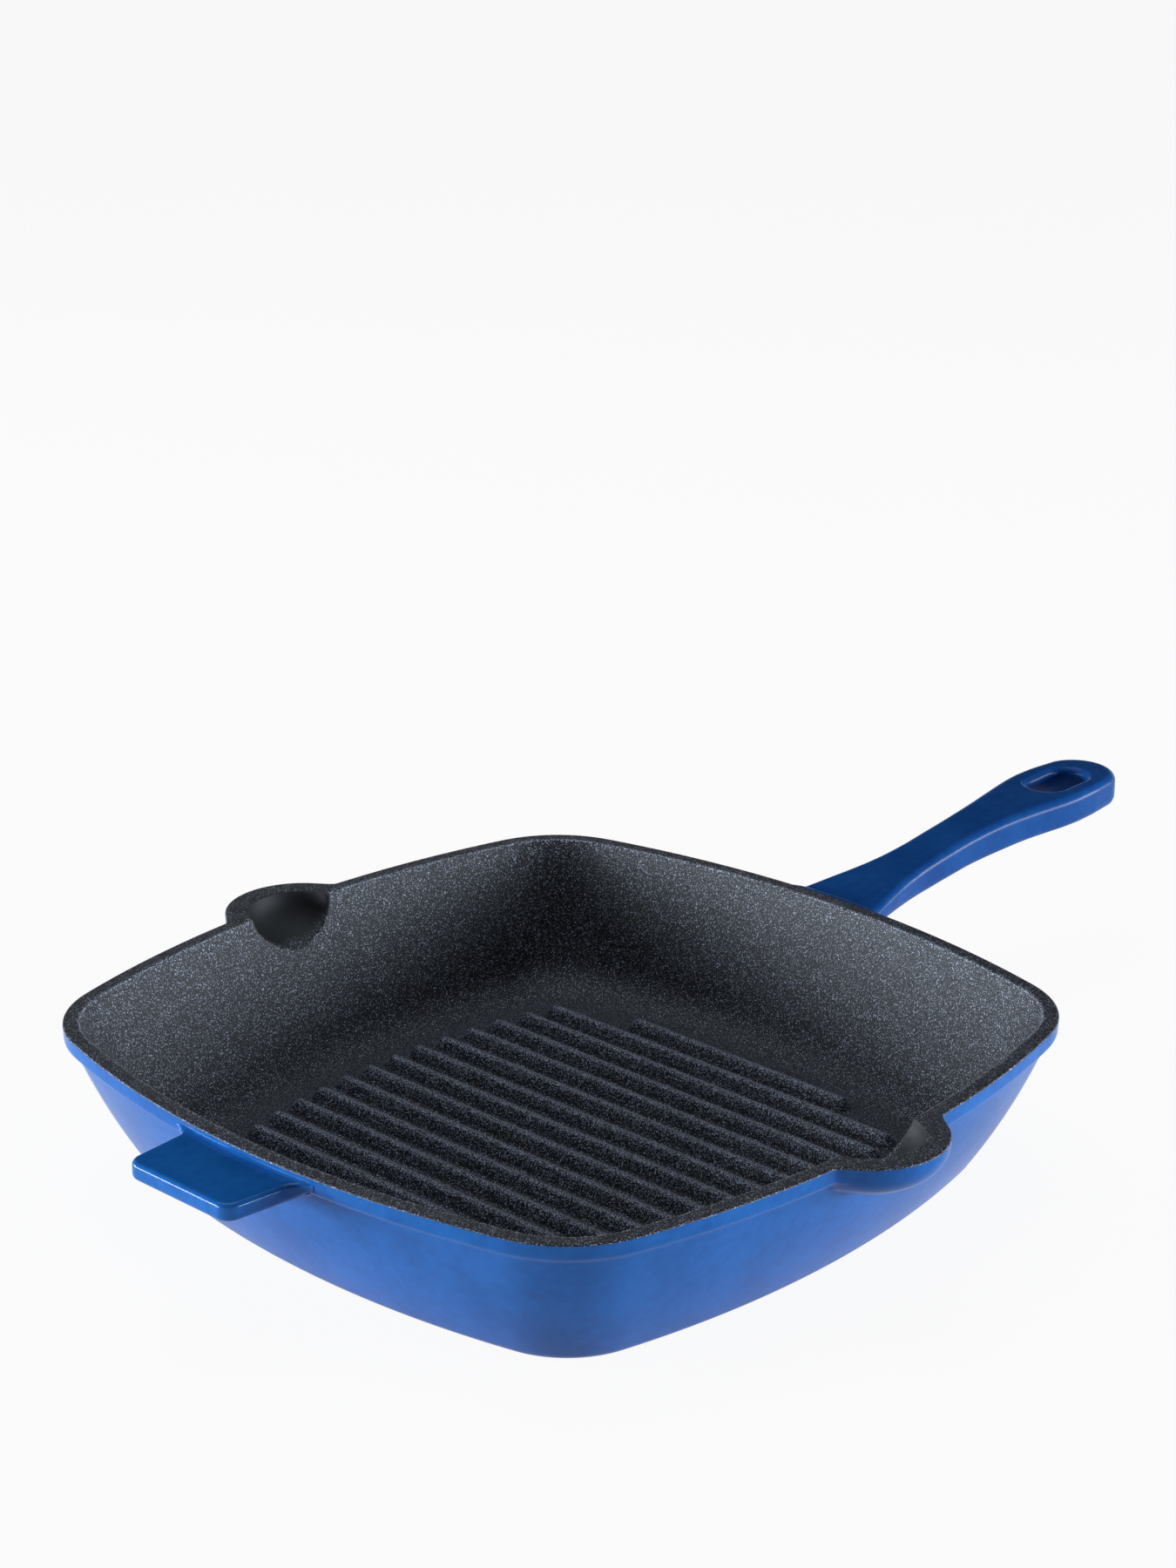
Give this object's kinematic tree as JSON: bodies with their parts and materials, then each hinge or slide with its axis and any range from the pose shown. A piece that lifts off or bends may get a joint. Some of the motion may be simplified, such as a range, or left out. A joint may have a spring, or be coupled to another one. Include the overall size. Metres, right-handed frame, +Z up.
{
  "type": "grill pan",
  "caption": "Square enamelled cast-iron grill pan with parallel ridges, a pouring spout on each side, a long handle with a hanging hole and a helper tab.",
  "frame": {"origin": "centre of the flat underside of the base, which the pan stands on", "axes": "+X along the long handle, +Z up out of the pan's mouth; the ridges run along Y and the two spouts face +Y and -Y"},
  "size_m": [0.431, 0.2896, 0.0609],
  "materials": {
    "grey_iron": "as cast",
    "blue_enamel": "gloss vitreous enamel",
    "black_enamel": "fine-textured satin vitreous enamel"
  },
  "bodies": {
    "root": {"floor_plate": "grey_iron", "handle_side_wall": "grey_iron", "left_side_wall": "grey_iron", "tab_side_wall": "grey_iron", "right_side_wall": "grey_iron", "rim_collar_tab_side": "grey_iron", "rim_collar_handle_side": "grey_iron", "spout_right": "grey_iron", "spout_left": "grey_iron", "long_handle": "grey_iron", "helper_handle": "grey_iron", "grill_ridge_01": "grey_iron", "grill_ridge_02": "grey_iron", "grill_ridge_03": "grey_iron", "grill_ridge_04": "grey_iron", "grill_ridge_05": "grey_iron", "grill_ridge_06": "grey_iron", "grill_ridge_07": "grey_iron", "grill_ridge_08": "grey_iron", "grill_ridge_09": "grey_iron", "grill_ridge_10": "grey_iron", "grill_ridge_11": "grey_iron", "grill_ridge_12": "grey_iron", "grill_ridge_13": "grey_iron", "grill_ridge_14": "grey_iron", "grill_ridge_15": "grey_iron", "grill_ridge_16": "grey_iron", "base_enamel": "blue_enamel", "wall_enamel": "blue_enamel", "long_handle_enamel": "blue_enamel", "helper_handle_enamel": "blue_enamel", "lining_enamel": "black_enamel", "rim_enamel": "black_enamel"}
  },
  "joints": []
}
